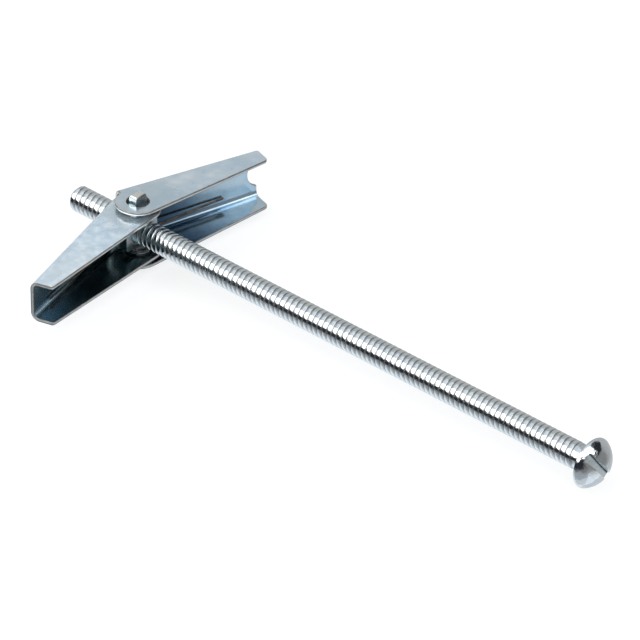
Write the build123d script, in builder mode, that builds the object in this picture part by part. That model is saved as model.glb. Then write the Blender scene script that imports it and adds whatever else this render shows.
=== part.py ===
from build123d import *
from math import cos, pi, radians, sin, sqrt, tan
import os

# Toggle anchor: a slotted bolt, the trunnion nut on its thread, two nested wings folded
# from sheet, and the torsion spring that opens them. Millimetres.
# The origin is the centre of the flat face under the bolt's head. The head stands on +X and
# the shank runs along -X. The wings turn on an axis parallel to Z and open along +Y and -Y.

# Bolt
thread_diameter = 4.8
shank_length = 120.4
tip_chamfer = 0.7
neck_length = 2.1
neck_diameter = 4.3
neck_fillet = 0.35
head_diameter = 9.1
head_height = 3.2
head_rim = 0.3
slot_width = 1.55
slot_depth = 1.9
slot_turn = -53.0
slot_off_centre = 0.25

# How far the bolt's tip stands out behind the trunnion axis, with the nut run on this far
tip_stand_out = 15.3

# Wings, both cut and folded from the same sheet
sheet = 0.6
bend_radius = 1.0
rest_sweep = 16.2
web_offset = 5.86
ear_radius = 4.1
pivot_hole_diameter = 4.1
web_end_gap = 0.45
bolt_notch_clearance = 0.5

outer_height = 11.6
outer_tip_height = 10.2
outer_length = 27.1
outer_tip_flange = 4.75
outer_tip_corner = 0.9

inner_height = 9.1
inner_tip_height = 8.0
inner_length = 28.5
inner_tip_flange = 4.42
inner_tip_corner = 0.5

# Part of a round hole that is left in the tip of the outer wing's web
tip_notch_diameter = 5.4
tip_notch_depth = 1.85

# Trunnion nut
nut_width = 7.7
nut_thickness = 1.8
nut_corner = 0.3
bore_clearance = 0.05
trunnion_clearance = 0.2
trunnion_stand_out = 1.45
trunnion_chamfer = 0.3
shoulder_clearance = 0.4

# Torsion spring
wire_diameter = 0.45
coil_clearance = 0.25
turn_gap = 0.03
ear_gap = 0.2
seat_gap = 0.03
leg_back_angle = 20.0
leg_bend_distance = 3.6
leg_bend_radius = 1.2
leg_web_gap = 0.12
outer_leg_reach = 20.0
outer_leg_end_height = -2.8
inner_leg_reach = 23.3
inner_leg_end_height = -2.45

pivot = Vector(tip_stand_out - shank_length, 0, 0)
thread_radius = thread_diameter / 2
bend_outside = bend_radius + sheet
web_inside = web_offset - sheet
sweep_angle = radians(rest_sweep)


def wing_frame(side):
    """Directions of a wing at rest: across its channel to the open side, and along its web."""
    open_way = Vector(cos(sweep_angle), -side * sin(sweep_angle), 0)
    along = Vector(0, 0, 1).cross(open_way)
    return open_way, along


def folded_wing(side, height, tip_height, length, tip_flange, tip_corner, tip_notch=None):
    """One tapered channel with round ears; side is 1 for the wing on +Y and -1 for the one on -Y.

    tip_notch is the diameter and the depth of a round cut in the end of the web, if it has one.
    """
    open_way, along = wing_frame(side)
    plan = Plane(origin=pivot, x_dir=along, z_dir=(0, 0, 1))
    web = Plane(origin=pivot - open_way * web_offset, x_dir=along, z_dir=open_way)
    depth = web_offset + ear_radius + sheet

    def side_outline(start, end, wall):
        half_start = (height + (tip_height - height) * start / length) / 2 - wall
        half_end = (height + (tip_height - height) * end / length) / 2 - wall
        return [
            (side * start, -half_start),
            (side * end, -half_end),
            (side * end, half_end),
            (side * start, half_start),
        ]

    # The ends of the two webs stay this far apart at rest, and meet if the wings open further
    web_start = (web_end_gap / 2 - web_inside * sin(sweep_angle)) / cos(sweep_angle)
    bolt_crossing = -(web_offset - sheet / 2) * tan(sweep_angle)

    # The blank runs past the round ears before they are cut
    overrun = -2 * ear_radius

    with BuildPart() as wing:
        # Outer skin of the channel, with its two bends
        with BuildSketch(web):
            with BuildLine():
                Polyline(*side_outline(overrun, length, 0), close=True)
            make_face()
        extrude(amount=depth)
        back = wing.edges().group_by(Axis(pivot, open_way))[0]
        fillet(back.sort_by(SortBy.LENGTH)[-2:], bend_outside)

        # Inside of the channel, open at the front and at both ends
        with BuildSketch(web.offset(sheet)):
            with BuildLine():
                Polyline(*side_outline(overrun - sheet, length + sheet, sheet), close=True)
            make_face()
        extrude(amount=depth, mode=Mode.SUBTRACT)
        floor = wing.faces(Select.LAST).sort_by(Axis(pivot, open_way))[0]
        fillet(floor.edges().sort_by(SortBy.LENGTH)[-2:], bend_radius)

        # Outline seen along the trunnion axis: the ear, the sloping free edges and the tip
        free_corner = web_offset - tip_flange
        with BuildSketch(plan) as outline:
            Circle(ear_radius)
            flange_middle = web_offset - tip_flange / 2
            with Locations((side * (length - tip_flange / 2), flange_middle)):
                Rectangle(tip_flange, tip_flange)
            make_hull()
            with Locations((side * (web_start + length) / 2, flange_middle)):
                Rectangle(length - web_start, tip_flange)
            corners = outline.vertices().sort_by_distance((side * length, free_corner))
            fillet(corners[0], tip_corner)
        extrude(amount=height, both=True, mode=Mode.INTERSECT)

        # Holes for the trunnions, and the notch that the bolt passes through
        with BuildSketch(plan):
            Circle(pivot_hole_diameter / 2)
        extrude(amount=height, both=True, mode=Mode.SUBTRACT)
        with BuildSketch(web):
            with Locations((side * bolt_crossing, 0)):
                Circle(thread_radius + bolt_notch_clearance)
            if tip_notch:
                notch_radius = tip_notch[0] / 2
                with Locations((side * (length - tip_notch[1] + notch_radius), 0)):
                    Circle(notch_radius)
        extrude(amount=bend_outside, mode=Mode.SUBTRACT)
    return wing


# Outer wing, on +Y
outer_wing = folded_wing(
    1,
    outer_height,
    outer_tip_height,
    outer_length,
    outer_tip_flange,
    outer_tip_corner,
    tip_notch=(tip_notch_diameter, tip_notch_depth),
)

# Inner wing, on -Y
inner_wing = folded_wing(
    -1, inner_height, inner_tip_height, inner_length, inner_tip_flange, inner_tip_corner
)

# Bolt, turned about X, with its slot
neck_radius = neck_diameter / 2
head_radius = head_diameter / 2
dome_rise = head_height - head_rim
dome_radius = (head_radius**2 + dome_rise**2) / (2 * dome_rise)
along_slot = (0, cos(radians(slot_turn)), sin(radians(slot_turn)))
slot_plane = Plane(origin=(head_height, 0, 0), x_dir=along_slot, z_dir=(1, 0, 0))

with BuildPart() as bolt:
    with BuildSketch(Plane.XY) as profile:
        with BuildLine():
            Polyline(
                (head_height, 0),
                (-shank_length, 0),
                (-shank_length, thread_radius - tip_chamfer),
                (-shank_length + tip_chamfer, thread_radius),
                (-neck_length - thread_radius + neck_radius, thread_radius),
                (-neck_length, neck_radius),
                (0, neck_radius),
                (0, head_radius),
                (head_rim, head_radius),
            )
            RadiusArc((head_rim, head_radius), (head_height, 0), dome_radius)
        make_face()
        fillet(profile.vertices().sort_by_distance((0, neck_radius))[0], neck_fillet)
    revolve(axis=Axis.X)
    with BuildSketch(slot_plane):
        with Locations((0, -slot_off_centre)):
            Rectangle(head_diameter + slot_width, slot_width)
    extrude(amount=-slot_depth, mode=Mode.SUBTRACT)

# Spring: one turn on the lower trunnion, its ends crossing behind it, and a leg along each web
trunnion_radius = pivot_hole_diameter / 2 - trunnion_clearance
coil_radius = trunnion_radius + coil_clearance + wire_diameter / 2
coil_wrap = 360 - 2 * leg_back_angle
coil_pitch = (wire_diameter + turn_gap) * 360 / coil_wrap
ear_floor = -(inner_height / 2 - sheet)
coil_low = ear_floor + ear_gap + wire_diameter / 2
coil_high = coil_low + coil_pitch * coil_wrap / 360
leg_slope = coil_pitch / (2 * pi * coil_radius)


def leg_points(side, coil_level, slope, reach, end_height):
    """Corners of a leg: off the coil, its one bend, and its end beside the web."""
    open_way, along = wing_frame(side)
    back = radians(leg_back_angle)
    start = pivot + Vector(-coil_radius * cos(back), -side * coil_radius * sin(back), coil_level)
    off_coil = Vector(-sin(back), side * cos(back), slope)
    bend = start + off_coil * leg_bend_distance
    beside_web = web_inside - wire_diameter / 2 - leg_web_gap
    end = pivot + along * (side * reach) - open_way * beside_web + Vector(0, 0, end_height)
    return start, bend, end


outer_leg = leg_points(1, coil_low, -leg_slope, outer_leg_reach, outer_leg_end_height)
inner_leg = leg_points(-1, coil_high, leg_slope, inner_leg_reach, inner_leg_end_height)

with BuildPart() as torsion_spring:
    with BuildLine() as wire_path:
        FilletPolyline(*reversed(inner_leg), radius=leg_bend_radius)
        coil = Helix(
            pitch=coil_pitch,
            height=coil_high - coil_low,
            radius=coil_radius,
            center=pivot + Vector(0, 0, coil_low),
            mode=Mode.PRIVATE,
        )
        add(coil.rotate(Axis(pivot, (0, 0, 1)), 180 + leg_back_angle))
        FilletPolyline(*outer_leg, radius=leg_bend_radius)
    wire = wire_path.wires()[0]
    with BuildSketch(Plane(origin=inner_leg[-1], z_dir=inner_leg[1] - inner_leg[-1])):
        Circle(wire_diameter / 2)
    sweep(path=wire, transition=Transition.ROUND)

# Trunnion nut: a flat plate across the bolt, its two trunnions and the bolt's bore
upper_shoulder = inner_height / 2 - sheet - shoulder_clearance
lower_shoulder = coil_high + wire_diameter / 2 + seat_gap
trunnion_reach = outer_height / 2 + trunnion_stand_out
trunnion_width = 2 * sqrt(trunnion_radius**2 - (nut_thickness / 2) ** 2)
nut_plane = Plane(origin=pivot - Vector(nut_thickness / 2, 0, 0), x_dir=(0, 1, 0), z_dir=(1, 0, 0))

with BuildPart() as trunnion_nut:
    with BuildSketch(nut_plane) as plate:
        with Locations((0, (upper_shoulder + lower_shoulder) / 2)):
            Rectangle(nut_width, upper_shoulder - lower_shoulder)
        chamfer(plate.vertices(), nut_corner)
        Rectangle(trunnion_width, 2 * trunnion_reach)
    extrude(amount=nut_thickness)
    ends = trunnion_nut.faces().filter_by(Axis.Z).sort_by(Axis.Z)
    chamfer(ends[0].edges() + ends[-1].edges(), trunnion_chamfer)
    with BuildSketch(nut_plane):
        Circle(thread_radius + bore_clearance)
    extrude(amount=nut_thickness, mode=Mode.SUBTRACT)

# Each piece is written as one file, named after it
pieces = {
    "bolt": bolt,
    "trunnion_nut": trunnion_nut,
    "outer_wing": outer_wing,
    "inner_wing": inner_wing,
    "torsion_spring": torsion_spring,
}
os.makedirs("parts", exist_ok=True)
for name, piece in pieces.items():
    piece.part.label = name
    export_step(piece.part, f"parts/{name}.step")
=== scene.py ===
import math

import bmesh
import bpy
from mathutils import Matrix, Vector


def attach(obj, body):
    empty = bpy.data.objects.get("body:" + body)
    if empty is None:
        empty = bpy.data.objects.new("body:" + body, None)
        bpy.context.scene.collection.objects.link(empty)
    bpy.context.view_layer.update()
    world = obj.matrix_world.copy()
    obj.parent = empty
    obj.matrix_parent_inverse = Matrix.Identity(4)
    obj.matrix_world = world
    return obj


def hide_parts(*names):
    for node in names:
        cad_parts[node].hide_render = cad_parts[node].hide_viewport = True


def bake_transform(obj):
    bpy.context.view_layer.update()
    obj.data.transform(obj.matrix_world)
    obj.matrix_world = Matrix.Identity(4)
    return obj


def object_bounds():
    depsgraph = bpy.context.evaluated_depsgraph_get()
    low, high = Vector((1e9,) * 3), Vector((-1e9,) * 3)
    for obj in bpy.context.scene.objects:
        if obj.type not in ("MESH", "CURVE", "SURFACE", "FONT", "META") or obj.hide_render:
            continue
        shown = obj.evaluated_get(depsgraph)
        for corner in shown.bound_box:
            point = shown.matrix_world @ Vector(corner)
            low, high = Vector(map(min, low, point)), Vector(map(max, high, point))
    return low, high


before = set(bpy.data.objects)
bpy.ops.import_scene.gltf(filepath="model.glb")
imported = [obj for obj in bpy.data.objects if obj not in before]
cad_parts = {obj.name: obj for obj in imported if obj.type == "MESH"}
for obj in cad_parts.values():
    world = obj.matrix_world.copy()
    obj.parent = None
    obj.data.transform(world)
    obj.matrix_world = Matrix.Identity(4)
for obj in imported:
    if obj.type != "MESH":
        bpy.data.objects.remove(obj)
cad_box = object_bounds()

# Lengths are in millimetres until a mesh is made, and in the frame of the solids.
MM = 0.001
RADIANS_PER_DEGREE = math.pi / 180

# Bolt. The thread's depth and profile are set for its reflections: a standard one is deeper.
THREAD_RADIUS = 2.4
THREAD_PITCH = 1.126
THREAD_DEPTH = 0.3
THREAD_ROOT = THREAD_RADIUS - THREAD_DEPTH
RUN_OUT = 1.0
SHANK_LENGTH = 120.4
TIP_CHAMFER = 0.7
NECK_LENGTH = 2.1
NECK_RADIUS = 2.15
NECK_FILLET = 0.35
HEAD_RADIUS = 4.55
HEAD_HEIGHT = 3.2
HEAD_RIM = 0.3
RIM_ROUND = 0.08
SLOT_WIDTH = 1.55
SLOT_DEPTH = 1.9
SLOT_TURN = math.radians(-53)
SLOT_OFF_CENTRE = 0.25
SLOT_EDGE_ROUND = 0.07
ROUND_SEGMENTS = 56
FILLET_STEPS = 6
DOME_RINGS = 20

# One pitch of the thread: distance from a crest as a share of the pitch, and share of the depth
THREAD_PROFILE = [
    (-0.34, 0.88),
    (-0.24, 0.95),
    (-0.12, 0.99),
    (0.0, 1.0),
    (0.12, 0.99),
    (0.24, 0.95),
    (0.34, 0.88),
    (0.38, 0.78),
    (0.415, 0.43),
    (0.45, 0.13),
    (0.50, 0.0),
    (0.55, 0.13),
    (0.585, 0.43),
    (0.62, 0.78),
]

# Trunnion axis, this far from the bolt's tip, and the wings' turn back from it
TIP_STAND_OUT = 15.3
PIVOT = Vector((TIP_STAND_OUT - SHANK_LENGTH, 0, 0))
REST_SWEEP = math.radians(16.2)

# Wings
SHEET = 0.6
BEND_RADIUS = 1.0
BEND_OUTSIDE = BEND_RADIUS + SHEET
WEB_OFFSET = 5.86
WING_SHAPES = {
    "outer_wing": {"side": 1, "height": 11.6, "tip_height": 10.2, "length": 27.1, "dulled": 0.3},
    "inner_wing": {"side": -1, "height": 9.1, "tip_height": 8.0, "length": 28.5, "dulled": 0.8},
}
EDGE_ROUND = 0.1

# A wing's faces are told apart by these cosines, and by how near they lie to the sheet's skins
SQUARE_ON = 0.98
TOWARDS_END = 0.3
SKIN_MARGIN = 0.04

# Nut: beyond the draft's start, the corners of a trunnion close in to a share of its width
NUT_EDGE_ROUND = 0.08
TRUNNION_RADIUS = 1.85
TRUNNION_STAND_OUT = 1.45
TRUNNION_REACH = WING_SHAPES["outer_wing"]["height"] / 2 + TRUNNION_STAND_OUT
TRUNNION_DRAFT_FROM = 6.0
TRUNNION_END_SHARE = 0.8

# Spring, on the floor of the inner wing's lower ear
WIRE_RADIUS = 0.225
COIL_CLEARANCE = 0.25
COIL_RADIUS = TRUNNION_RADIUS + COIL_CLEARANCE + WIRE_RADIUS
EAR_GAP = 0.2
COIL_LOW = SHEET - WING_SHAPES["inner_wing"]["height"] / 2 + EAR_GAP + WIRE_RADIUS
COIL_RISE = 0.48
LEG_BACK_ANGLE = math.radians(20)
LEG_BEND_DISTANCE = 3.6
LEG_BEND_RADIUS = 1.2
LEG_WEB_GAP = 0.12
WIRE_TO_WEB = WEB_OFFSET - SHEET - WIRE_RADIUS - LEG_WEB_GAP
OUTER_LEG = {"side": 1, "level": COIL_LOW, "reach": 20.0, "end_height": -2.8}
INNER_LEG = {"side": -1, "level": COIL_LOW + COIL_RISE, "reach": 23.3, "end_height": -2.45}
WIRE_END_CHAMFER = 0.05
WIRE_SEGMENTS = 16
WIRE_STEP = 0.25
WIRE_LEAST_STEP = 0.02
COIL_STEPS = 40
BEND_STEPS = 8

# Line across the coil, turned this far from -X towards the leg
WINDING_SLANT = math.radians(25)

# Corners that meet within this distance are one, in the meshes made here and in the solids'
MERGE_DISTANCE = 0.001
FACET_MERGE_DISTANCE = 0.002

# Angles between two faces, in degrees: still flat, a sharp edge to break, and sharp shading
FLAT_FACETS = 0.6
SHARP_SHEET = 40
SHARP_SLOT = 25
SHADED_SHARP_BOLT = 40
SHADED_SHARP_WIRE = 50

# Floor, lamps and camera
FLOOR_REACH = 4000
FLOOR_GAP = 0.02
LAMP_CENTRE = Vector((-0.05, 0, 0))
VIEW_AZIMUTH = 43.0
VIEW_ELEVATION = 33.6
VIEW_DISTANCE = 1080.7
VIEW_RIGHT = 31.9
VIEW_UP = -16.0
LENS = 345.9


class Value:
    """A socket that can be used in Python arithmetic, which adds Math nodes."""

    def __init__(self, shading, socket):
        self.shading = shading
        self.socket = socket

    def math(self, operation, *others):
        return self.shading.math(operation, self, *others)

    def __add__(self, other):
        return self.math("ADD", other)

    def __radd__(self, other):
        return self.shading.math("ADD", other, self)

    def __sub__(self, other):
        return self.math("SUBTRACT", other)

    def __rsub__(self, other):
        return self.shading.math("SUBTRACT", other, self)

    def __mul__(self, other):
        return self.math("MULTIPLY", other)

    def __rmul__(self, other):
        return self.shading.math("MULTIPLY", other, self)

    def __truediv__(self, other):
        return self.math("DIVIDE", other)

    def __rtruediv__(self, other):
        return self.shading.math("DIVIDE", other, self)

    def __neg__(self):
        return self * -1

    def between(self, low, high):
        """0 below low, 1 above high and smooth between them."""
        inputs = {"Value": self, "From Min": low, "From Max": high}
        settings = {"interpolation_type": "SMOOTHSTEP"}
        return self.shading.value("ShaderNodeMapRange", settings, inputs)

    def band(self, rising, falling):
        """1 from the end of one range to the start of the other, and 0 beyond both."""
        return self.between(*rising) * (1 - self.between(*falling))

    def facing(self, heading, low, high):
        """1 where an angle in degrees is close to a heading, by the cosine between them."""
        return ((self - heading) * RADIANS_PER_DEGREE).math("COSINE").between(low, high)


class Shading:
    """A node tree, and the one way that nodes are added to it."""

    def __init__(self, owner):
        owner.use_nodes = True
        self.tree = owner.node_tree
        self.tree.nodes.clear()

    def node(self, kind, settings=None, inputs=None):
        made = self.tree.nodes.new(kind)
        for name, value in (settings or {}).items():
            setattr(made, name, value)
        for name, value in (inputs or {}).items():
            if isinstance(value, Value):
                self.tree.links.new(value.socket, made.inputs[name])
            else:
                made.inputs[name].default_value = value
        return made

    def value(self, kind, settings=None, inputs=None, output=0):
        return Value(self, self.node(kind, settings, inputs).outputs[output])

    def math(self, operation, *values):
        """A Math node on values and numbers, in the order given."""
        return self.value("ShaderNodeMath", {"operation": operation}, dict(enumerate(values)))

    def mix(self, factor, first, second):
        """Colour between two others."""
        settings = {"data_type": "RGBA", "clamp_factor": True}
        return self.value("ShaderNodeMix", settings, {0: factor, 6: first, 7: second}, output=2)

    def place(self, stretch=(1, 1, 1)):
        """Position on the piece in millimetres, stretched along the axes."""
        coordinates = self.value("ShaderNodeTexCoord", output="Object")
        scale = tuple(part / MM for part in stretch)
        settings = {"operation": "MULTIPLY"}
        return self.value("ShaderNodeVectorMath", settings, {0: coordinates, 1: scale})

    def axes(self, vector):
        """The three parts of a vector."""
        parts = self.node("ShaderNodeSeparateXYZ", None, {0: vector})
        return [Value(self, output) for output in parts.outputs]

    def noise(self, where, scale, detail=3.0, roughness=0.5):
        """Cloudy noise; on a piece the scale is in clouds for each millimetre."""
        inputs = {"Vector": where, "Scale": scale, "Detail": detail, "Roughness": roughness}
        return self.value("ShaderNodeTexNoise", {"noise_dimensions": "3D"}, inputs)

    def bump(self, height, distance, strength=1.0, normal=None):
        """Normal bent by a height; the distance is in millimetres."""
        inputs = {"Height": height, "Distance": distance * MM, "Strength": strength}
        if normal is not None:
            inputs["Normal"] = normal
        return self.value("ShaderNodeBump", None, inputs)

    def metal(self, colour, roughness, normal, metallic=1.0):
        inputs = {
            "Base Color": colour,
            "Roughness": roughness,
            "Metallic": metallic,
            "Normal": normal,
        }
        shader = self.value("ShaderNodeBsdfPrincipled", None, inputs)
        self.node("ShaderNodeOutputMaterial", None, {"Surface": shader})


def slot_masks(along, across, upwards):
    """Masks of the driver's slot: all of it, and the corner by its upper wall, where shade is painted.
    """
    half_width = SLOT_WIDTH / 2
    over_middle = upwards * math.cos(SLOT_TURN) - across * math.sin(SLOT_TURN) + SLOT_OFF_CENTRE
    above_floor = along - (HEAD_HEIGHT - SLOT_DEPTH)
    in_slot = above_floor.between(-0.03, -0.01)
    beside = over_middle.math("ABSOLUTE").between(half_width + 0.01, half_width + 0.03)
    in_slot = in_slot * (1 - beside)
    from_wall = half_width - over_middle
    from_corner = (above_floor * above_floor + from_wall * from_wall).math("SQRT")
    return in_slot, in_slot * (1 - from_corner.between(0.08, 0.34))


def bolt_zinc():
    """Bright zinc on the thread, the neck and the head, with painted shade in the thread's grooves and
    in the slot, which are also rougher.
    """
    material = bpy.data.materials.new("bolt_zinc")
    shading = Shading(material)
    where = shading.place()
    cloud = shading.noise(where, 0.35, 4.0)
    grain = shading.noise(where, 6.0, 3.0)
    drawn = shading.noise(shading.place((6.0, 0.8, 0.8)), 1.0, 2.0)
    colour = shading.mix(cloud.between(0.3, 0.7), (0.84, 0.87, 0.89, 1), (0.91, 0.92, 0.91, 1))
    along, across, upwards = shading.axes(where)
    from_axis = (across * across + upwards * upwards).math("SQRT")
    # Painted shade: the thread's grooves are darkened to grey, and also made rougher
    shaded_groove = 1 - from_axis.between(THREAD_ROOT + 0.04, THREAD_ROOT + 0.24)
    shaded_groove = shaded_groove * (1 - along.between(-NECK_LENGTH - 0.6, -NECK_LENGTH))
    shaded_groove = shaded_groove * along.between(-SHANK_LENGTH + 0.3, -SHANK_LENGTH + 0.7)
    colour = shading.mix(shaded_groove * 0.75, colour, (0.30, 0.30, 0.30, 1))
    in_slot, shaded_corner = slot_masks(along, across, upwards)
    # Painted shade: the slot is painted darker and made rougher, and its corner by the upper wall is
    # painted near black
    colour = shading.mix(in_slot * 0.8, colour, (0.70, 0.74, 0.73, 1))
    colour = shading.mix(shaded_corner, colour, (0.07, 0.11, 0.17, 1))
    roughness = 0.06 + cloud * 0.05 + grain * 0.03 + shaded_groove * 0.2 + in_slot * 0.12
    dents = shading.noise(where, 0.8, 2.0) * along.between(0.1, 0.5)
    normal = shading.bump(dents, 0.2, 0.6)
    rolled = shading.noise(where, 1.7, 2.0) * (1 - along.between(-NECK_LENGTH, 0))
    normal = shading.bump(rolled, 0.12, 0.35, normal)
    normal = shading.bump(drawn * 0.7 + grain * 0.3, 0.02, 0.25, normal)
    shading.metal(colour, roughness, normal)
    return material


def nut_zinc():
    """Dull zinc on the nut, with painted shade: darker and more teal than the bolt's, for the shade
    among the wings; brighter on the cut ends of its trunnions.
    """
    material = bpy.data.materials.new("nut_zinc")
    shading = Shading(material)
    where = shading.place()
    cloud = shading.noise(where, 0.8, 3.0)
    grain = shading.noise(where, 9.0, 3.0)
    # Painted shade: the nut's zinc is darker and more teal than the bolt's, for the shade it sits in
    # among the wings
    colour = shading.mix(cloud.between(0.3, 0.7), (0.46, 0.53, 0.55, 1), (0.62, 0.67, 0.67, 1))
    upwards = shading.axes(where)[2]
    end_face = upwards.math("ABSOLUTE").between(TRUNNION_REACH - 0.25, TRUNNION_REACH - 0.03)
    colour = shading.mix(end_face, colour, (0.96, 0.93, 0.88, 1))
    roughness = 0.14 + cloud * 0.1 + grain * 0.06 + end_face * 0.2
    normal = shading.bump(grain, 0.02, 0.5)
    shading.metal(colour, roughness, normal)
    return material


def outside_zinc(name, dulled):
    """Blue bright zinc on the outside of a wing, dulled in clouds by tumbling."""
    material = bpy.data.materials.new(name)
    shading = Shading(material)
    where = shading.place()
    cloud = shading.noise(where, 0.16, 4.0, 0.55)
    bloom = shading.noise(where, 0.5, 5.0, 0.6)
    grain = shading.noise(where, 10.0, 3.0)
    blue = shading.mix(cloud.between(0.35, 0.65), (0.74, 0.88, 0.99, 1), (0.84, 0.94, 1.0, 1))
    colour = shading.mix(bloom.between(0.45, 0.75) * 0.6, blue, (0.96, 0.99, 1.0, 1))
    along, across = shading.axes(where)[:2]
    along = along - PIVOT.x
    from_pivot = (along * along + across * across).math("SQRT")
    tumbled = 0.5 + 0.5 * from_pivot.between(5, 10)
    roughness = 0.15 + tumbled * (0.05 + bloom * 0.15) + grain * 0.05
    metallic = 1 - dulled * tumbled * (0.5 + bloom.between(0.35, 0.75) * 0.5)
    wavy = shading.noise(where, 0.25, 1.0)
    normal = shading.bump(wavy, 0.25, 0.12)
    normal = shading.bump(grain, 0.01, 0.18, normal)
    shading.metal(colour, roughness, normal, metallic)
    return material


def inside_zinc():
    """Smooth zinc in the wings' channels, with painted shade: dark teal deep in the channels, lighter
    towards their open ends.
    """
    material = bpy.data.materials.new("inside_zinc")
    shading = Shading(material)
    where = shading.place()
    cloud = shading.noise(where, 0.16, 4.0, 0.55)
    grain = shading.noise(where, 10.0, 3.0)
    across = shading.axes(where)[1]
    # Painted shade: dark teal deep in each channel, fading to the lit zinc towards its open end, a
    # little differently in each wing
    open_end = across.between(7, 26) + 0.6 * (-across).between(6, 30)
    bright = shading.mix(cloud.between(0.35, 0.65), (0.62, 0.81, 0.98, 1), (0.76, 0.91, 1.0, 1))
    dark = shading.mix(across.between(-2, 2), (0.17, 0.25, 0.27, 1), (0.17, 0.24, 0.31, 1))
    colour = shading.mix(open_end, dark, bright)
    roughness = 0.12 + cloud * 0.08 + grain * 0.04
    wavy = shading.noise(where, 0.25, 1.0)
    normal = shading.bump(wavy, 0.25, 0.12)
    normal = shading.bump(grain, 0.01, 0.05, normal)
    shading.metal(colour, roughness, normal)
    return material


def sheared_zinc(node):
    """Zinc on a wing's cut edges: a torn, darker band by the outside and a burnished, pale one."""
    material = bpy.data.materials.new(node + "_sheared_zinc")
    shading = Shading(material)
    where = shading.place()
    depth, along, half = wing_axes(node, *shading.axes(where))
    below_flange = half - shading.axes(where)[2].math("ABSOLUTE")
    into_sheet = below_flange.math("MINIMUM", depth + WEB_OFFSET)
    grain = shading.noise(where, 5.0, 4.0, 0.6)
    cloud = shading.noise(where, 0.7, 2.0)
    pale = shading.mix(cloud.between(0.35, 0.65), (0.86, 0.80, 0.72, 1), (0.94, 0.93, 0.92, 1))
    burnished = (into_sheet + (grain - 0.5) * 0.1).between(0.20, 0.30)
    colour = shading.mix(burnished, (0.30, 0.36, 0.42, 1), pale)
    roughness = 0.24 + grain * 0.15
    normal = shading.bump(grain, 0.03, 0.5)
    shading.metal(colour, roughness, normal)
    return material


def worn_edge():
    """The cut edges' corners, where the zinc is thin and has browned."""
    material = bpy.data.materials.new("worn_edge")
    shading = Shading(material)
    where = shading.place()
    cloud = shading.noise(where, 0.9, 3.0)
    colour = shading.mix(cloud.between(0.4, 0.6), (0.42, 0.33, 0.25, 1), (0.66, 0.58, 0.48, 1))
    roughness = 0.3 + cloud * 0.1
    normal = shading.bump(cloud, 0.02, 0.3)
    shading.metal(colour, roughness, normal)
    return material


def spring_steel():
    """Dark drawn wire, browned a little by its heat treatment."""
    material = bpy.data.materials.new("spring_steel")
    shading = Shading(material)
    where = shading.place()
    cloud = shading.noise(where, 0.9, 3.0)
    grain = shading.noise(where, 12.0, 2.0)
    colour = shading.mix(cloud.between(0.35, 0.65), (0.16, 0.12, 0.10, 1), (0.30, 0.24, 0.20, 1))
    roughness = 0.22 + grain * 0.12
    normal = shading.bump(grain, 0.01, 0.4)
    shading.metal(colour, roughness, normal)
    return material


def new_piece(name, vertices, faces):
    """An object from a list of corners in millimetres and a list of faces."""
    mesh = bpy.data.meshes.new(name)
    mesh.from_pydata([tuple(MM * part for part in corner) for corner in vertices], [], faces)
    piece = bpy.data.objects.new(name, mesh)
    bpy.context.scene.collection.objects.link(piece)
    return piece


def tidy_mesh(piece):
    """Merges the corners that meet, drops flat slivers and turns every face outwards."""
    shape = bmesh.new()
    shape.from_mesh(piece.data)
    bmesh.ops.remove_doubles(shape, verts=shape.verts, dist=MERGE_DISTANCE * MM)
    bmesh.ops.dissolve_degenerate(shape, edges=shape.edges, dist=MERGE_DISTANCE * MM)
    bmesh.ops.recalc_face_normals(shape, faces=shape.faces)
    shape.to_mesh(piece.data)
    shape.free()


def apply_modifiers(piece):
    """Makes the piece's mesh what its modifiers show."""
    graph = bpy.context.evaluated_depsgraph_get()
    graph.update()
    made = bpy.data.meshes.new_from_object(piece.evaluated_get(graph))
    piece.modifiers.clear()
    piece.data = made


def shade(piece, sharp_angle):
    """Smooth shading, but for edges sharper than an angle in degrees."""
    piece.data.shade_smooth()
    piece.data.set_sharp_from_angle(angle=math.radians(sharp_angle))


def thread_radius(share, axial):
    """Radius of the thread's flank, crest or root, cut by the tip's chamfer and run out at the neck."""
    full = THREAD_ROOT + (THREAD_RADIUS - THREAD_ROOT) * share
    chamfer = THREAD_RADIUS - TIP_CHAMFER + (axial + SHANK_LENGTH)
    run = min(max((-NECK_LENGTH - axial) / RUN_OUT, 0), 1)
    run = run * run * (3 - 2 * run)
    return min(NECK_RADIUS + (full - NECK_RADIUS) * run, chamfer)


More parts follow.
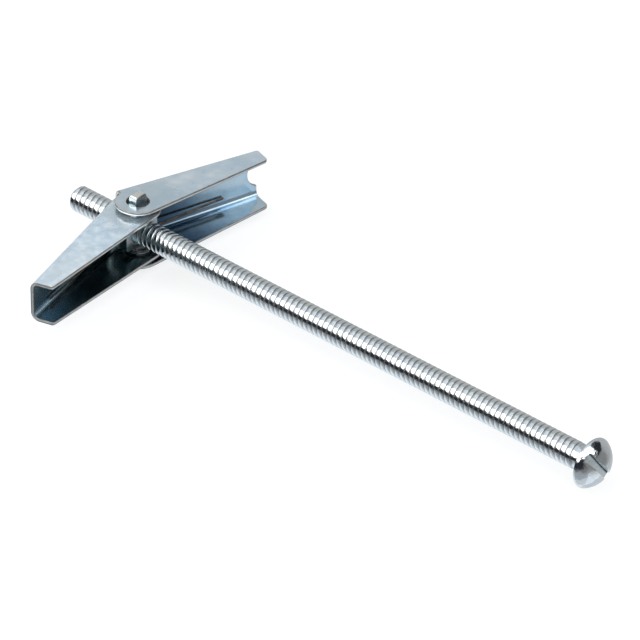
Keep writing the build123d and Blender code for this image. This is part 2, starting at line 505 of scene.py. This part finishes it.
def bolt_mesh():
    """The threaded shank on a grid that follows the helix, with the neck and the domed head."""
    per_turn = len(THREAD_PROFILE)

    # The grid starts and ends past the shank, where its rows are pressed flat on the ends
    turns = math.ceil((SHANK_LENGTH - NECK_LENGTH) / THREAD_PITCH) + 2
    rows = turns * per_turn
    angles = [2 * math.pi * a / ROUND_SEGMENTS for a in range(ROUND_SEGMENTS)]
    vertices = []
    for row in range(rows + per_turn + 1):
        turn, place = divmod(row, per_turn)
        phase, share = THREAD_PROFILE[place]
        for a, angle in enumerate(angles):
            axial = THREAD_PITCH * (turn - 1.5 + phase + a / ROUND_SEGMENTS) - SHANK_LENGTH
            axial = min(max(axial, -SHANK_LENGTH), -NECK_LENGTH)
            radius = thread_radius(share, axial)
            vertices.append((axial, radius * math.cos(angle), radius * math.sin(angle)))

    def corner(row, a):
        if a == ROUND_SEGMENTS:
            return (row + per_turn) * ROUND_SEGMENTS
        return row * ROUND_SEGMENTS + a

    faces = []
    for row in range(rows):
        for a in range(ROUND_SEGMENTS):
            quad = (corner(row, a), corner(row, a + 1), corner(row + 1, a + 1), corner(row + 1, a))
            if len({vertices[c] for c in quad}) > 2:
                faces.append(quad)

    # Rings from the neck over the rim and the dome to the pole
    rings = [(-NECK_LENGTH, NECK_RADIUS)]
    for step in range(FILLET_STEPS + 1):
        turn = math.pi / 2 * step / FILLET_STEPS
        rings.append(
            (NECK_FILLET * (math.sin(turn) - 1), NECK_RADIUS + NECK_FILLET * (1 - math.cos(turn)))
        )
    rings += [
        (0, HEAD_RADIUS - RIM_ROUND),
        (RIM_ROUND * 0.3, HEAD_RADIUS - RIM_ROUND * 0.3),
        (RIM_ROUND, HEAD_RADIUS),
        (HEAD_RIM - RIM_ROUND, HEAD_RADIUS),
    ]
    rise = HEAD_HEIGHT - HEAD_RIM
    dome = (HEAD_RADIUS**2 + rise**2) / (2 * rise)
    widest = math.asin(HEAD_RADIUS / dome)
    for step in range(DOME_RINGS):
        turn = widest * (1 - (step + 0.25) / DOME_RINGS)
        rings.append((HEAD_HEIGHT - dome + dome * math.cos(turn), dome * math.sin(turn)))
    add_revolved(vertices, faces, rings, (HEAD_HEIGHT, 0, 0))
    tip_rings = [(-SHANK_LENGTH, THREAD_RADIUS - TIP_CHAMFER)]
    add_revolved(vertices, faces, tip_rings, (-SHANK_LENGTH, 0, 0))
    return vertices, faces


def add_revolved(vertices, faces, rings, pole):
    """Rings about the bolt's axis, joined to each other and closed at the pole."""
    first = len(vertices)
    for axial, radius in rings:
        for a in range(ROUND_SEGMENTS):
            angle = 2 * math.pi * a / ROUND_SEGMENTS
            vertices.append((axial, radius * math.cos(angle), radius * math.sin(angle)))
    vertices.append(pole)
    last = first + (len(rings) - 1) * ROUND_SEGMENTS
    for a in range(ROUND_SEGMENTS):
        b = (a + 1) % ROUND_SEGMENTS
        for ring in range(first, last, ROUND_SEGMENTS):
            below = ring + ROUND_SEGMENTS
            faces.append((ring + a, ring + b, below + b, below + a))
        faces.append((last + a, last + b, len(vertices) - 1))


def cut_slot(bolt):
    """Takes the driver's slot out of the dome and breaks the head's sharp edges."""
    length, height = 12.0, 4.0
    corners = [
        (x, y, z)
        for x in (HEAD_HEIGHT - SLOT_DEPTH, HEAD_HEIGHT - SLOT_DEPTH + height)
        for y in (-length / 2, length / 2)
        for z in (-SLOT_WIDTH / 2 - SLOT_OFF_CENTRE, SLOT_WIDTH / 2 - SLOT_OFF_CENTRE)
    ]
    turned = [Matrix.Rotation(SLOT_TURN, 3, "X") @ Vector(corner) for corner in corners]
    sides = [(0, 1, 3, 2), (4, 6, 7, 5), (0, 4, 5, 1), (2, 3, 7, 6), (0, 2, 6, 4), (1, 5, 7, 3)]
    cutter = new_piece("slot_cutter", turned, sides)
    tidy_mesh(cutter)
    cut = bolt.modifiers.new("slot", "BOOLEAN")
    cut.object = cutter
    cut.operation = "DIFFERENCE"
    cut.solver = "EXACT"
    apply_modifiers(bolt)
    bpy.data.objects.remove(cutter)
    shape = bmesh.new()
    shape.from_mesh(bolt.data)
    sharp = [
        edge
        for edge in shape.edges
        if min(corner.co.x for corner in edge.verts) > 0.5 * HEAD_RIM * MM
        and len(edge.link_faces) == 2
        and edge.calc_face_angle() > math.radians(SHARP_SLOT)
    ]
    bmesh.ops.bevel(
        shape,
        geom=sharp,
        offset=SLOT_EDGE_ROUND * MM,
        segments=2,
        profile=0.5,
        affect="EDGES",
        clamp_overlap=True,
    )
    shape.to_mesh(bolt.data)
    shape.free()


def wing_directions(side):
    """Directions of a wing at rest: to the open side of its channel, and along its web."""
    open_way = Vector((math.cos(REST_SWEEP), -side * math.sin(REST_SWEEP), 0))
    return open_way, Vector((0, 0, 1)).cross(open_way) * side


def wing_axes(node, x, y, z):
    """Depth in the channel, distance along the web and the channel's half height at a place."""
    shape = WING_SHAPES[node]
    open_way, away = wing_directions(shape["side"])
    depth = (x - PIVOT.x) * open_way.x + y * open_way.y
    along = (x - PIVOT.x) * away.x + y * away.y
    taper = (shape["tip_height"] - shape["height"]) / shape["length"]
    return depth, along, (along * taper + shape["height"]) / 2


def sheet_sides(node):
    """Tells a wing's faces apart: 0 for the sheet's outside, 1 for its inside, 2 for a cut edge."""
    open_way, away = wing_directions(WING_SHAPES[node]["side"])

    def side_of(face):
        place = face.calc_center_median() / MM
        normal = face.normal
        depth, along, half = wing_axes(node, *place)
        below = half - abs(place.z)
        if abs(normal.z) > SQUARE_ON:
            level = below
        elif abs(normal.dot(open_way)) > SQUARE_ON:
            level = depth + WEB_OFFSET
        elif depth < BEND_OUTSIDE - WEB_OFFSET and below < BEND_OUTSIDE:
            if abs(normal.dot(away)) > TOWARDS_END:
                return 2
            outwards = normal.z * place.z > 0 or normal.dot(open_way) < 0
            return 0 if outwards else 1
        else:
            return 2
        if abs(level) < SKIN_MARGIN:
            return 0
        return 1 if abs(level - SHEET) < SKIN_MARGIN else 2

    return side_of


def rounded_copy(node, name, edge_round, side_of=None):
    """A copy of a solid with its sharp edges broken, and its faces sorted into materials."""
    piece = bpy.data.objects.new(name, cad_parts[node].data.copy())
    bpy.context.scene.collection.objects.link(piece)
    piece.data.materials.clear()
    shape = bmesh.new()
    shape.from_mesh(piece.data)
    bmesh.ops.remove_doubles(shape, verts=shape.verts, dist=FACET_MERGE_DISTANCE * MM)
    flat = math.radians(FLAT_FACETS)
    bmesh.ops.dissolve_limit(shape, angle_limit=flat, verts=shape.verts, edges=shape.edges)
    for face in shape.faces:
        face.material_index = side_of(face) if side_of else 0
    sharp = [
        edge
        for edge in shape.edges
        if len(edge.link_faces) == 2 and edge.calc_face_angle() > math.radians(SHARP_SHEET)
    ]
    bmesh.ops.bevel(
        shape,
        geom=sharp,
        offset=edge_round * MM,
        segments=2,
        profile=0.5,
        affect="EDGES",
        clamp_overlap=True,
        material=3 if side_of else -1,
    )
    shape.to_mesh(piece.data)
    shape.free()
    piece.data.shade_smooth()
    weighted = piece.modifiers.new("flat_faces", "WEIGHTED_NORMAL")
    weighted.keep_sharp = False
    weighted.weight = 100
    apply_modifiers(piece)
    return piece


def leg_corners(leg):
    """Corners of a leg: off the coil, its one bend, and its end beside the web."""
    side = leg["side"]
    open_way, away = wing_directions(side)
    back = LEG_BACK_ANGLE
    wrap = 2 * math.pi - 2 * back
    slope = COIL_RISE / (wrap * COIL_RADIUS)
    start = PIVOT + Vector(
        (-COIL_RADIUS * math.cos(back), -side * COIL_RADIUS * math.sin(back), leg["level"])
    )
    off_coil = Vector((-math.sin(back), side * math.cos(back), -side * slope))
    bend = start + off_coil * LEG_BEND_DISTANCE
    end = PIVOT + away * leg["reach"] - open_way * WIRE_TO_WEB
    end += Vector((0, 0, leg["end_height"]))
    return start, bend, end


def bent_line(start, bend, end, radius):
    """Points along two straight runs and the arc that joins them."""
    first = (start - bend).normalized()
    second = (end - bend).normalized()
    half = first.angle(second) / 2
    setback = radius / math.tan(half)
    centre = bend + (first + second).normalized() * (radius / math.sin(half))
    arc_start = bend + first * setback
    arc_end = bend + second * setback
    spin = (arc_start - centre).cross(arc_end - centre).normalized()
    sweep = (arc_start - centre).angle(arc_end - centre)
    points = straight(start, arc_start)
    for step in range(1, BEND_STEPS):
        turn = Matrix.Rotation(sweep * step / BEND_STEPS, 3, spin)
        points.append(centre + turn @ (arc_start - centre))
    return points + straight(arc_end, end)


def straight(start, end):
    """Points along a straight run, both ends included."""
    steps = max(2, math.ceil((end - start).length / WIRE_STEP))
    return [start.lerp(end, step / steps) for step in range(steps + 1)]


def coil_points(first_share, last_share):
    """Points on the coil, by the share of its way up from the lower leg to the upper one."""
    wrap = 2 * math.pi - 2 * LEG_BACK_ANGLE
    start_angle = math.pi + LEG_BACK_ANGLE
    points = []
    for step in range(COIL_STEPS + 1):
        share = first_share + (last_share - first_share) * step / COIL_STEPS
        angle = start_angle + wrap * share
        level = COIL_LOW + COIL_RISE * share
        ring = Vector((math.cos(angle), math.sin(angle), 0)) * COIL_RADIUS
        points.append(PIVOT + ring + Vector((0, 0, level)))
    return points


def wire(name, points):
    """A round wire along the points, with its ends cut square and their edges broken."""
    spaced = [points[0]]
    for point in points[1:]:
        if (point - spaced[-1]).length > WIRE_LEAST_STEP:
            spaced.append(point)
    directions = []
    for here in range(len(spaced)):
        before = spaced[max(here - 1, 0)]
        after = spaced[min(here + 1, len(spaced) - 1)]
        directions.append((after - before).normalized())
    chamfer = WIRE_END_CHAMFER
    stations = [(spaced[0], directions[0], WIRE_RADIUS - chamfer)]
    stations.append((spaced[0] + directions[0] * chamfer, directions[0], WIRE_RADIUS))
    for point, direction in zip(spaced[1:-1], directions[1:-1]):
        stations.append((point, direction, WIRE_RADIUS))
    stations.append((spaced[-1] - directions[-1] * chamfer, directions[-1], WIRE_RADIUS))
    stations.append((spaced[-1], directions[-1], WIRE_RADIUS - chamfer))
    across = directions[0].orthogonal().normalized()
    vertices, faces = [], []
    for point, direction, radius in stations:
        across = (across - direction * across.dot(direction)).normalized()
        other = direction.cross(across)
        for a in range(WIRE_SEGMENTS):
            angle = 2 * math.pi * a / WIRE_SEGMENTS
            ring = across * math.cos(angle) + other * math.sin(angle)
            vertices.append(point + ring * radius)
    for row in range(len(stations) - 1):
        for a in range(WIRE_SEGMENTS):
            b = (a + 1) % WIRE_SEGMENTS
            low, high = row * WIRE_SEGMENTS, (row + 1) * WIRE_SEGMENTS
            faces.append((low + a, low + b, high + b, high + a))
    last = (len(stations) - 1) * WIRE_SEGMENTS
    faces.append(tuple(range(WIRE_SEGMENTS))[::-1])
    faces.append(tuple(range(last, last + WIRE_SEGMENTS)))
    piece = new_piece(name, vertices, faces)
    tidy_mesh(piece)
    shade(piece, SHADED_SHARP_WIRE)
    return piece


def dress(piece, slot, *materials):
    """Gives a piece its materials; the slot is not used."""
    for material in materials:
        piece.data.materials.append(material)


# Bolt
bolt = new_piece("threaded_bolt", *bolt_mesh())
tidy_mesh(bolt)
cut_slot(bolt)
shade(bolt, SHADED_SHARP_BOLT)
dress(bolt, "bolt_steel", bolt_zinc())
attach(bolt, "bolt")
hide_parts("bolt")

# Wings
channel_zinc = inside_zinc()
edge_zinc = worn_edge()
for node in WING_SHAPES:
    wing = rounded_copy(node, node + "_sheet", EDGE_ROUND, sheet_sides(node))
    outside = outside_zinc(node + "_outside_zinc", WING_SHAPES[node]["dulled"])
    dress(wing, "wing_sheet", outside, channel_zinc, sheared_zinc(node), edge_zinc)
    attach(wing, node)
    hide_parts(node)

# Nut
nut = rounded_copy("trunnion_nut", "nut_body", NUT_EDGE_ROUND)
for corner in nut.data.vertices:
    if abs(corner.co.z) > TRUNNION_DRAFT_FROM * MM:
        corner.co.y *= TRUNNION_END_SHARE
dress(nut, "nut_steel", nut_zinc())
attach(nut, "nut")
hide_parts("trunnion_nut")

# Spring, in two halves, each with half of the coil and one leg
spring_material = spring_steel()
outer_points = bent_line(*leg_corners(OUTER_LEG), LEG_BEND_RADIUS)
inner_points = bent_line(*leg_corners(INNER_LEG), LEG_BEND_RADIUS)
outer_half = wire("spring_outer_leg", coil_points(0.5, 0.0) + outer_points)
inner_half = wire("spring_inner_leg", coil_points(0.5, 1.0) + inner_points)
halves = ((outer_half, OUTER_LEG, "outer_wing"), (inner_half, INNER_LEG, "inner_wing"))
for half, leg, body in halves:
    dress(half, "spring_wire", spring_material)
    across_coil = Vector((-math.cos(WINDING_SLANT), leg["side"] * math.sin(WINDING_SLANT), 0))
    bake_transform(half)
    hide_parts("torsion_spring")

# Floor, just under the lowest point: it takes the shadow, but the zinc doesn't reflect it
floor_corners = [(x * FLOOR_REACH, y * FLOOR_REACH, 0) for x, y in ((-1, -1), (1, -1), (1, 1), (-1, 1))]
floor = new_piece("floor", floor_corners, [(0, 1, 2, 3)])
floor.location.z = min(corner[2] for corner in cad_box) - FLOOR_GAP * MM
floor_material = bpy.data.materials.new("pale_floor")
shading = Shading(floor_material)
light_path = shading.node("ShaderNodeLightPath")
seen = Value(shading, light_path.outputs["Is Camera Ray"])
reflected = Value(shading, light_path.outputs["Is Glossy Ray"])
matt = shading.value("ShaderNodeBsdfDiffuse", None, {"Color": (0.35, 0.35, 0.35, 1)})
glow = shading.value("ShaderNodeEmission", None, {"Color": (1, 1, 1, 1), "Strength": 0.75})
plain = shading.value("ShaderNodeBsdfDiffuse", None, {"Color": (0.8, 0.8, 0.8, 1)})
lifted = shading.value("ShaderNodeAddShader", None, {0: matt, 1: glow})
shown = shading.value("ShaderNodeMixShader", None, {0: seen, 1: plain, 2: lifted})
through = shading.value("ShaderNodeBsdfTransparent")
surface = shading.value("ShaderNodeMixShader", None, {0: reflected, 1: shown, 2: through})
shading.node("ShaderNodeOutputMaterial", None, {"Surface": surface})
floor.data.materials.append(floor_material)

# Studio around the part, in degrees of azimuth from the front and elevation above the table
world = bpy.data.worlds.new("studio")
bpy.context.scene.world = world
shading = Shading(world)
direction = shading.value("ShaderNodeTexCoord", output="Generated")
dx, dy, dz = shading.axes(direction)
elevation = dz.math("ARCSINE") / RADIANS_PER_DEGREE
azimuth = dx.math("ARCTAN2", -dy) / RADIANS_PER_DEGREE
round_axis = dz.math("ARCTAN2", -dy) / RADIANS_PER_DEGREE

# Walls: dim, but lighter on the far side, and pale blue from head height up
far_side = azimuth.facing(-140, 0.0, 0.8)
walls = shading.mix(far_side, (0.22, 0.225, 0.23, 1), (0.43, 0.45, 0.46, 1))
height = elevation - 14 * azimuth.facing(180, 0.3, 0.8) + 8 * azimuth.between(-95, -60)
upper = shading.mix(height.between(42, 53), walls, (0.72, 0.79, 0.85, 1))

# Table's sides: pale blue to the left and right, darker straight below the front, and mottled
left = azimuth.band((-150, -125), (-50, -25))
right = azimuth.band((54, 70), (112, 128))
low = shading.mix(left + right, (0.59, 0.635, 0.675, 1), (0.82, 0.90, 0.97, 1))
under_front = azimuth.band((-45, -15), (50, 68)) * elevation.between(-64, -46)
low = shading.mix(under_front, low, (0.36, 0.41, 0.46, 1))
mottle = shading.noise(direction, 2.6, 2.0).between(0.45, 0.6)
low = shading.mix(mottle * 0.3, low, (0.50, 0.56, 0.62, 1))
pale = shading.mix(1 - elevation.between(-55, -5), upper, low)

# Window: a white strip along the bolt, up to the head
window = round_axis.band((19, 24), (60, 70)) * (1 - dx.between(0.3, 0.42))
pale = shading.mix(window, pale, (1.05, 1.05, 1.05, 1))

# Two dark gaps: one round the front at table height, widest in its middle, and one to the right
rise = (elevation - 3 - azimuth * 0.17) / (1 + 0.9 * azimuth.between(-30, 30))
front_gap = azimuth.band((-85, -68), (42, 60)) * rise.band((-18, -4), (12, 17))
gap_start = azimuth - 0.6 * (elevation - 30).math("MAXIMUM", 0)
gap_end = azimuth + 0.35 * elevation
side_gap = gap_start.between(102, 112) * (1 - gap_end.between(172, 192))
side_gap = side_gap * elevation.band((20, 26), (46, 80))
studio = shading.mix(front_gap + side_gap, pale, (0.02, 0.024, 0.03, 1))

light_path = shading.node("ShaderNodeLightPath")
seen = Value(shading, light_path.outputs["Is Camera Ray"])
colour = shading.mix(seen, studio, (1, 1, 1, 1))
background = shading.value("ShaderNodeBackground", None, {"Color": colour, "Strength": 1.0})
shading.node("ShaderNodeOutputWorld", None, {"Surface": background})


def direction_to(azimuth, elevation):
    """Unit vector to a place in the studio, from its two angles in degrees."""
    a, e = math.radians(azimuth), math.radians(elevation)
    return Vector((math.sin(a) * math.cos(e), -math.cos(a) * math.cos(e), math.sin(e)))


def soft_lamp(name, place, away, along, width, height, radiance):
    """A soft box that faces the part, with its width laid along a direction; in metres."""
    lamp = bpy.data.lights.new(name, "AREA")
    lamp.shape = "RECTANGLE"
    lamp.size = width
    lamp.size_y = height
    lamp.energy = radiance * math.pi * width * height
    holder = bpy.data.objects.new(name, lamp)
    bpy.context.scene.collection.objects.link(holder)
    across = along.normalized()
    holder.location = place
    holder.rotation_euler = Matrix((across, away.cross(across), away)).transposed().to_euler()


# A long box above the front of the bolt, and a wide one above its head
along_bolt = Vector((1, 0, 0))
front = direction_to(0, 43)
front_place = LAMP_CENTRE + front * 1.1 - along_bolt * 0.75
soft_lamp("front_lamp", front_place, front, along_bolt, width=2.5, height=0.93, radiance=1.1)
overhead = direction_to(64, 56)
overhead_place = LAMP_CENTRE + overhead * 0.9
level_across = Vector((0, 0, 1)).cross(overhead)
soft_lamp("head_lamp", overhead_place, overhead, level_across, width=1.05, height=0.54, radiance=1.15)

# Camera
camera_data = bpy.data.cameras.new("camera")
camera_data.lens = LENS
camera_data.sensor_width = 36
camera_data.clip_start = 0.01
camera_data.clip_end = 50
camera = bpy.data.objects.new("camera", camera_data)
bpy.context.scene.collection.objects.link(camera)
back = direction_to(VIEW_AZIMUTH, VIEW_ELEVATION)
right = direction_to(VIEW_AZIMUTH + 90, 0)
up = back.cross(right)
camera.location = (PIVOT + back * VIEW_DISTANCE + right * VIEW_RIGHT + up * VIEW_UP) * MM
camera.rotation_euler = Matrix((right, up, back)).transposed().to_euler()
bpy.context.scene.camera = camera
bpy.context.scene.view_settings.view_transform = "Standard"

bpy.context.view_layer.update()
